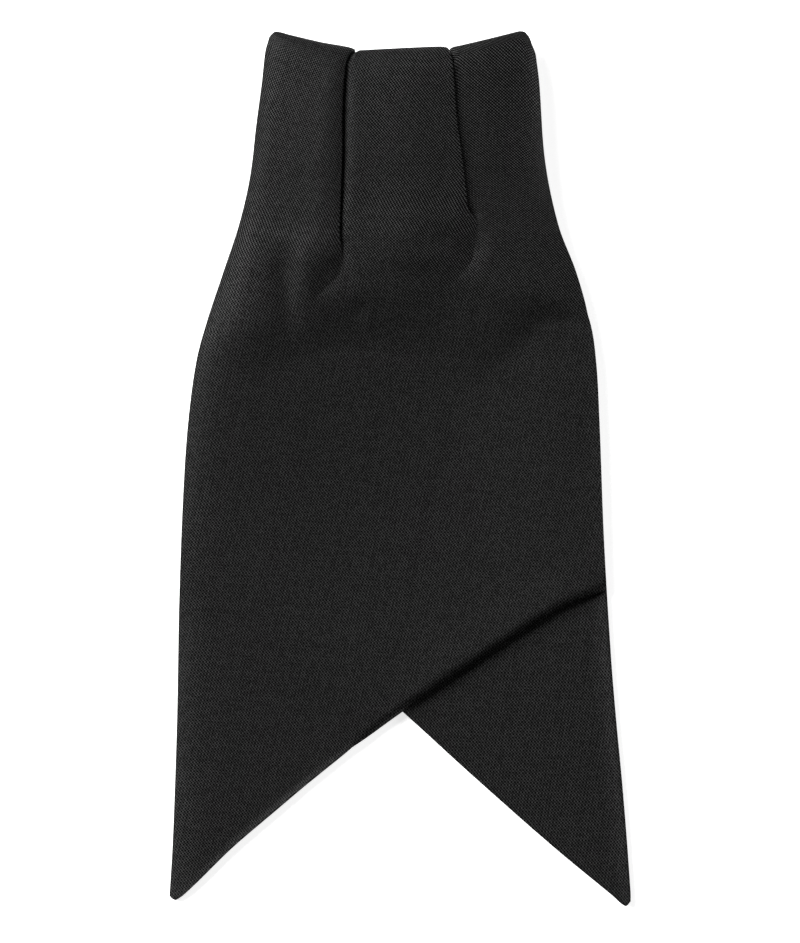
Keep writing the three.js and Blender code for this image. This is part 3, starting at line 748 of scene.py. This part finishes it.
def clip():
    deselect()
    low, bend = CLIP_LENGTHS
    plate = CLIP_HEIGHT - CLIP_METAL / 2
    bpy.ops.mesh.primitive_plane_add(size=1)
    piece = bpy.context.object
    piece.name = piece.data.name = "clip_metal"
    bpy.ops.object.mode_set(mode="EDIT")
    bpy.ops.mesh.select_all(action="SELECT")
    bpy.ops.transform.resize(value=(CLIP_WIDTHS[0] * MM, (bend - low) * MM, 1), center_override=(0, 0, 0))
    bpy.ops.transform.translate(value=(0, (bend + low) / 2 * MM, plate * MM))
    select_edge(piece, lambda y: y > (bend - NEARLY) * MM)
    width = CLIP_WIDTHS[0]
    for i in range(1, CLIP_TURNS + 1):
        centre = (0, bend * MM, (plate - CLIP_BEND) * MM)
        bpy.ops.mesh.spin(steps=1, angle=-math.pi / CLIP_TURNS, center=centre, axis=(1, 0, 0))
        after = float(mix(*CLIP_WIDTHS, ease(0, 1, i / CLIP_TURNS)))
        widen(width, after)
        width = after
    for along, up, after in TONGUE:
        bpy.ops.mesh.extrude_edges_move(TRANSFORM_OT_translate={"value": (0, along * MM, up * MM)})
        widen(width, after)
        width = after
    select_corners(piece, low)
    bpy.ops.mesh.bevel(offset=CLIP_CORNER * MM, segments=CLIP_CORNER_STEPS, affect="VERTICES")
    bpy.ops.object.mode_set(mode="OBJECT")
    thicken(piece, CLIP_METAL, CLIP_EDGE, CLIP_EDGE_STEPS, even=True)
    return piece


strip = clip()
print("clip, millimetres:", [round(size / MM, 2) for size in strip.dimensions])

# %% [markdown]
# ## Maths for materials
# Weave is arithmetic: stripes multiplied by stripes. To write it as we would on paper, a small class wraps
# a node socket and turns `a * b + 1` into Math nodes. All other nodes come from `make_node`, which takes a
# node's type, its settings, and what goes into its sockets by number or by name.

# %% Shader maths


class Wire:
    def __init__(self, tree, socket):
        self.tree = tree
        self.socket = socket

    def math(self, operation, *others):
        return make_node(self.tree, "ShaderNodeMath", {"operation": operation}, 0, (self, *others))

    def __add__(self, other):
        return self.math("ADD", other)

    __radd__ = __add__

    def __mul__(self, other):
        return self.math("MULTIPLY", other)

    __rmul__ = __mul__

    def __sub__(self, other):
        return self.math("SUBTRACT", other)

    def __rsub__(self, other):
        return (self * -1) + other


def plug(tree, socket, value):
    if isinstance(value, Wire):
        tree.links.new(value.socket, socket)
    else:
        socket.default_value = value


def plug_all(tree, node, sockets):
    for name, value in sockets.items():
        plug(tree, node.inputs[name.replace("_", " ")], value)


def make_node(tree, kind, settings=None, output=0, values=(), **sockets):
    node = tree.nodes.new(kind)
    for name, value in (settings or {}).items():
        setattr(node, name, value)
    for slot, value in enumerate(values):
        plug(tree, node.inputs[slot], value)
    plug_all(tree, node, sockets)
    return Wire(tree, node.outputs[output])


def vector_maths(tree, operation, *values, **sockets):
    return make_node(tree, "ShaderNodeVectorMath", {"operation": operation}, 0, values, **sockets)


def along_axis(tree, vector, axis):
    return make_node(tree, "ShaderNodeSeparateXYZ", output="XYZ".index(axis), Vector=vector)


def new_material(name):
    material = bpy.data.materials.new(name)
    material.use_nodes = True
    tree = material.node_tree
    return material, tree, tree.nodes["Principled BSDF"]


def dress(piece, material):
    piece.data.materials.clear()
    piece.data.materials.append(material)
    print(piece.name, "wears", material.name, "of", len(material.node_tree.nodes), "nodes")


# %% [markdown]
# ## The weave
# The cloth is a plain weave of dull black polyester: each thread passes over one and under the next, about
# 25 to the centimetre. The threads that run up show as small brighter dots between the ones that run across.
# Two sine waves multiplied give the dots, and squares of random brightness stand for uneven threads. The
# threads wander a little, which we get by moving each place by a soft noise before the waves are drawn.

# %% The weave
FRONT_WEAVE = {"across": (-1.19, 0.274), "along": (0.103, 1.281)}  # repeats to the millimetre
BACK_WEAVE = {"across": (-1.17, 0.21), "along": (0.06, 1.19)}
WEAVE = {"checks": 1.2, "twill": 0.25, "warp": 0.22, "weft": -0.12, "speck": 0.72, "slub": 0.12, "sharp": 2.2}
THREADS = 2  # in a repeat, each way
WANDER = {"scale": 130.0, "reach": 0.00012}  # how often, to the metre, and how far the threads wander


def faces(wave_u, wave_v, side_u, side_v, relief):
    checks = wave_u * wave_v * WEAVE["checks"] + side_u * side_v * WEAVE["twill"]
    return (checks * relief + wave_u * WEAVE["warp"] + wave_v * WEAVE["weft"] + 1) * 0.5


def wandering_place(tree):
    place = make_node(tree, "ShaderNodeUVMap", {"uv_map": "cloth"})
    noise = make_node(tree, "ShaderNodeTexNoise", {"noise_dimensions": "2D"}, "Color", Vector=place,
                      Scale=WANDER["scale"], Detail=1.0)
    centred = vector_maths(tree, "SUBTRACT", noise, (0.5, 0.5, 0.5))
    return vector_maths(tree, "ADD", place, vector_maths(tree, "SCALE", centred, Scale=WANDER["reach"] * 2))


def thread_counts(tree, weave):
    place = wandering_place(tree)
    x = along_axis(tree, place, "X") * (1 / MM)
    y = along_axis(tree, place, "Y") * (1 / MM)
    return [x * per_x + y * per_y for per_x, per_y in (weave["across"], weave["along"])]


def random_shade(tree, dimensions, **sockets):
    return make_node(tree, "ShaderNodeTexWhiteNoise", {"noise_dimensions": dimensions}, "Value", **sockets)


def unevenness(tree, u, v):
    warp = (u * THREADS).math("FLOOR")
    weft = (v * THREADS).math("FLOOR")
    speck = random_shade(tree, "2D", Vector=make_node(tree, "ShaderNodeCombineXYZ", X=warp, Y=weft))
    slub = random_shade(tree, "1D", W=weft)
    thread = random_shade(tree, "1D", W=warp)
    return 1 - WEAVE["speck"] / 2 + speck * WEAVE["speck"] + (slub - 0.5 + thread - 0.5) * WEAVE["slub"]


# %% [markdown]
# ## Painted highlight and shade on the threads
# At the top, and most at the right, the weave pattern gets more contrast in colour and gloss. This is painted
# highlight and shade on the threads, as where lamp light grazes them; elsewhere they show less. A pattern
# with more contrast would also be brighter on average, so we work out for both states, once and in Python,
# the factor that gives the same average gloss.

# %% Painted highlight and shade on the threads
GLOSS = 0.327  # the share of the surface that gives back light as a thin coat does, on average
RELIEF = {"plain_threads": 0.68, "painted_graze": 2.0}  # how much the threads stand out in the pattern; the higher value adds painted highlight and shade
PAINTED_GRAZE_UP = (0.036, 0.060)  # from plain threads to the painted graze contrast between these places up, in metres
PAINTED_GRAZE_ACROSS = (-0.012, 0.026)
PAINTED_GRAZE_LEFT = 0.25  # the left side gets this share of the painted graze contrast
PAINTED_TOP_SHADE = 0.07  # painted shade: the top is made this much darker, in colour and gloss
PHASES = 96  # places in a repeat that we average over
SPECKS = 9  # and brightnesses of a speck
ROUNDS = 20


def evenness(relief):
    turn = np.linspace(0, 2 * math.pi, PHASES, endpoint=False)
    u, v = np.meshgrid(turn, turn)
    pattern = np.maximum(faces(np.sin(u), np.sin(v), np.cos(u), np.cos(v), relief), 0) ** WEAVE["sharp"]
    uneven = np.linspace(1 - WEAVE["speck"] / 2, 1 + WEAVE["speck"] / 2, SPECKS)
    even = 1.0
    for _ in range(ROUNDS):
        even *= GLOSS / float(np.minimum(pattern[..., None] * uneven * even, 1).mean())
    return even


EVEN = {state: evenness(relief) for state, relief in RELIEF.items()}
print("gloss factors:", {state: round(factor, 3) for state, factor in EVEN.items()})


def soft_step(tree, value, limits, lowest=0.0):
    return make_node(tree, "ShaderNodeMapRange", {"interpolation_type": "SMOOTHSTEP"}, Value=value,
                     From_Min=limits[0], From_Max=limits[1], To_Min=lowest)


def between(share, values):
    return share * (values["painted_graze"] - values["plain_threads"]) + values["plain_threads"]


def woven_face(tree, weave):
    u, v = thread_counts(tree, weave)
    waves = [(count * (2 * math.pi)).math(wave) for wave in ("SINE", "COSINE") for count in (u, v)]
    seat = make_node(tree, "ShaderNodeTexCoord", output="Object")
    up = soft_step(tree, along_axis(tree, seat, "Y"), PAINTED_GRAZE_UP)
    # painted highlight and shade: the thread pattern gets more contrast at the top and the right
    painted_graze = up * soft_step(tree, along_axis(tree, seat, "X"), PAINTED_GRAZE_ACROSS, PAINTED_GRAZE_LEFT)
    pattern = faces(*waves, between(painted_graze, RELIEF)).math("MAXIMUM", 0.0).math("POWER", WEAVE["sharp"])
    # painted shade: the top is made a little darker, in colour and gloss
    pattern = pattern * between(painted_graze, EVEN) * (1 - up * PAINTED_TOP_SHADE)
    return pattern * unevenness(tree, u, v), waves[0] * waves[1]


# %% [markdown]
# ## The black cloth
# Seen in the photo, black cloth is nearly all gloss: its own colour is close to nothing, and the threads give
# back the lamp. So the woven pattern feeds the Coat Weight, over a very dark base without gloss of its own,
# and a rough coat makes slopes towards the lamp brighten softly. A slight bump rounds the threads.

# %% The black cloth
BLACK = 0.012  # the base colour where a thread shows in full
BETWEEN_THREADS = 0.1  # the pattern is raised by this, so that the gaps are not fully black
CLOTH_ROUGHNESS = 0.7
COAT_ROUGHNESS = 0.64
THREAD_BUMP = {"Strength": 0.35, "Distance": 0.00006}  # in metres


def cloth_material(name, weave):
    material, tree, shader = new_material(name)
    face, rounding = woven_face(tree, weave)
    tone = (face + BETWEEN_THREADS) * BLACK
    plug_all(tree, shader, {
        "Base Color": make_node(tree, "ShaderNodeCombineColor", Red=tone, Green=tone, Blue=tone),
        "Roughness": CLOTH_ROUGHNESS,
        "Specular IOR Level": 0.0,
        "Coat Weight": face.math("MINIMUM", 1.0),
        "Coat Roughness": COAT_ROUGHNESS,
        "Normal": make_node(tree, "ShaderNodeBump", output="Normal", Height=rounding, **THREAD_BUMP),
    })
    return material


dress(front, cloth_material("black_plain_weave_front", FRONT_WEAVE))
dress(back, cloth_material("black_plain_weave_back", BACK_WEAVE))

# %% [markdown]
# ## The metal of the clip
# Nickel-plated steel, brushed across: fine streaks of rougher and smoother metal, laid in the piece's own
# coordinates. A noise that is stretched far more one way than the other gives such streaks.

# %% The metal of the clip
STREAKS = (60.0, 4000.0, 4000.0)  # to the metre, along the streaks and across them
STREAK_DETAIL = 2.0
METAL_ROUGHNESS = (0.22, 0.44)  # in the smoothest and the roughest streaks
NICKEL = (0.60, 0.59, 0.57, 1)


def metal_material():
    material, tree, shader = new_material("nickel_plated_steel")
    seat = make_node(tree, "ShaderNodeTexCoord", output="Object")
    stretched = vector_maths(tree, "MULTIPLY", seat, STREAKS)
    streaks = make_node(tree, "ShaderNodeTexNoise", {"noise_dimensions": "3D"}, Vector=stretched, Scale=1.0,
                        Detail=STREAK_DETAIL)
    smooth, rough = METAL_ROUGHNESS
    plug_all(tree, shader, {
        "Base Color": NICKEL,
        "Metallic": 1.0,
        "Roughness": streaks * (rough - smooth) + smooth,
    })
    return material


dress(strip, metal_material())

# %% [markdown]
# ## What each piece stands for
# Both blades replace the plain solids of the frame, and so does the clip: each hangs from the frame's root
# and its solid is hidden. Each blade is a sheet of cloth.

# %% Telling the frame
for piece, node in ((front, "front_blade"), (back, "back_blade")):
    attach(piece, "root")
    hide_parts(node)
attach(strip, "root")
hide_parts("clip")

# %% [markdown]
# ## The light and the camera
# The cravat is seen from straight above, small in a long lens, on a plain white surface. A large soft lamp
# at the upper left gives the folds their shade, and a weaker one at the right keeps them from going black.
# The white room around it is brighter low down than straight above.

# %% The white surface and the room
FLOOR_SIZE = 6.0
FLOOR_DEPTH = 0.2 * MM  # the surface lies this much below the cravat
FLOOR_COLOUR = (0.8, 0.8, 0.8, 1)
FLOOR_ROUGHNESS = 0.8
FLOOR_GLOW = 0.75  # makes it as white as the photo's ground
ZENITH = 0.14  # brightness of the room: straight above, and all round at the surface
HORIZON = 0.75


def white_surface():
    deselect()
    bpy.ops.mesh.primitive_plane_add(size=FLOOR_SIZE, location=(0, 0, -FLOOR_DEPTH))
    floor = bpy.context.object
    floor.name = "floor"
    bpy.ops.object.transform_apply(location=True)
    material, tree, shader = new_material("white_surface")
    plug_all(tree, shader, {
        "Base Color": FLOOR_COLOUR,
        "Roughness": FLOOR_ROUGHNESS,
        "Emission Color": (1, 1, 1, 1),
        "Emission Strength": FLOOR_GLOW,
    })
    floor.data.materials.append(material)


def white_room():
    world = bpy.data.worlds.new("studio")
    world.use_nodes = True
    tree = world.node_tree
    direction = make_node(tree, "ShaderNodeTexCoord", output="Generated")
    away = 1 - along_axis(tree, direction, "Z").math("MAXIMUM", 0.0)
    brightness = away * away * away * (HORIZON - ZENITH) + ZENITH
    plug_all(tree, tree.nodes["Background"], {"Strength": brightness})
    bpy.context.scene.world = world


white_surface()
white_room()

# %% Lamps
LAMPS = {
    "key": {"place": (-1.8, 1.2, 1.7), "size": 1.6, "power": 156},
    "fill": {"place": (1.0, 0.3, 0.5), "size": 0.8, "power": 7},
}


def lamp(name, place, size, power):
    light = bpy.data.lights.new(name, "AREA")
    light.energy = power
    light.size = size
    holder = bpy.data.objects.new(name, light)
    holder.location = place
    direction = -holder.location
    holder.rotation_euler = direction.to_track_quat("-Z", "Y").to_euler()
    bpy.context.scene.collection.objects.link(holder)


for name, values in LAMPS.items():
    lamp(name, **values)

# %% The camera
CAMERA_HEIGHT = 2.0
SCALE_HEIGHT = 3 * MM  # the photo's scale holds at this height above the surface
PIXEL = 0.2623 * MM  # a pixel of the photo on the cravat
FRAME_HEIGHT = 943  # pixels
PHOTO_MIDDLE = (-0.5, -1.5)  # pixels from the middle of the outline
SENSOR = 36.0  # millimetres, along the longer side of the picture
FARTHEST = 20.0


def camera():
    data = bpy.data.cameras.new("camera")
    data.sensor_width = SENSOR
    data.lens = SENSOR * (CAMERA_HEIGHT - SCALE_HEIGHT) / (FRAME_HEIGHT * PIXEL)
    data.clip_end = FARTHEST
    holder = bpy.data.objects.new("camera", data)
    holder.location = (PHOTO_MIDDLE[0] * PIXEL, PHOTO_MIDDLE[1] * PIXEL, CAMERA_HEIGHT)
    bpy.context.scene.collection.objects.link(holder)
    bpy.context.scene.camera = holder
    print("lens, millimetres:", round(data.lens, 1))


camera()
bpy.context.scene.view_settings.view_transform = "Standard"
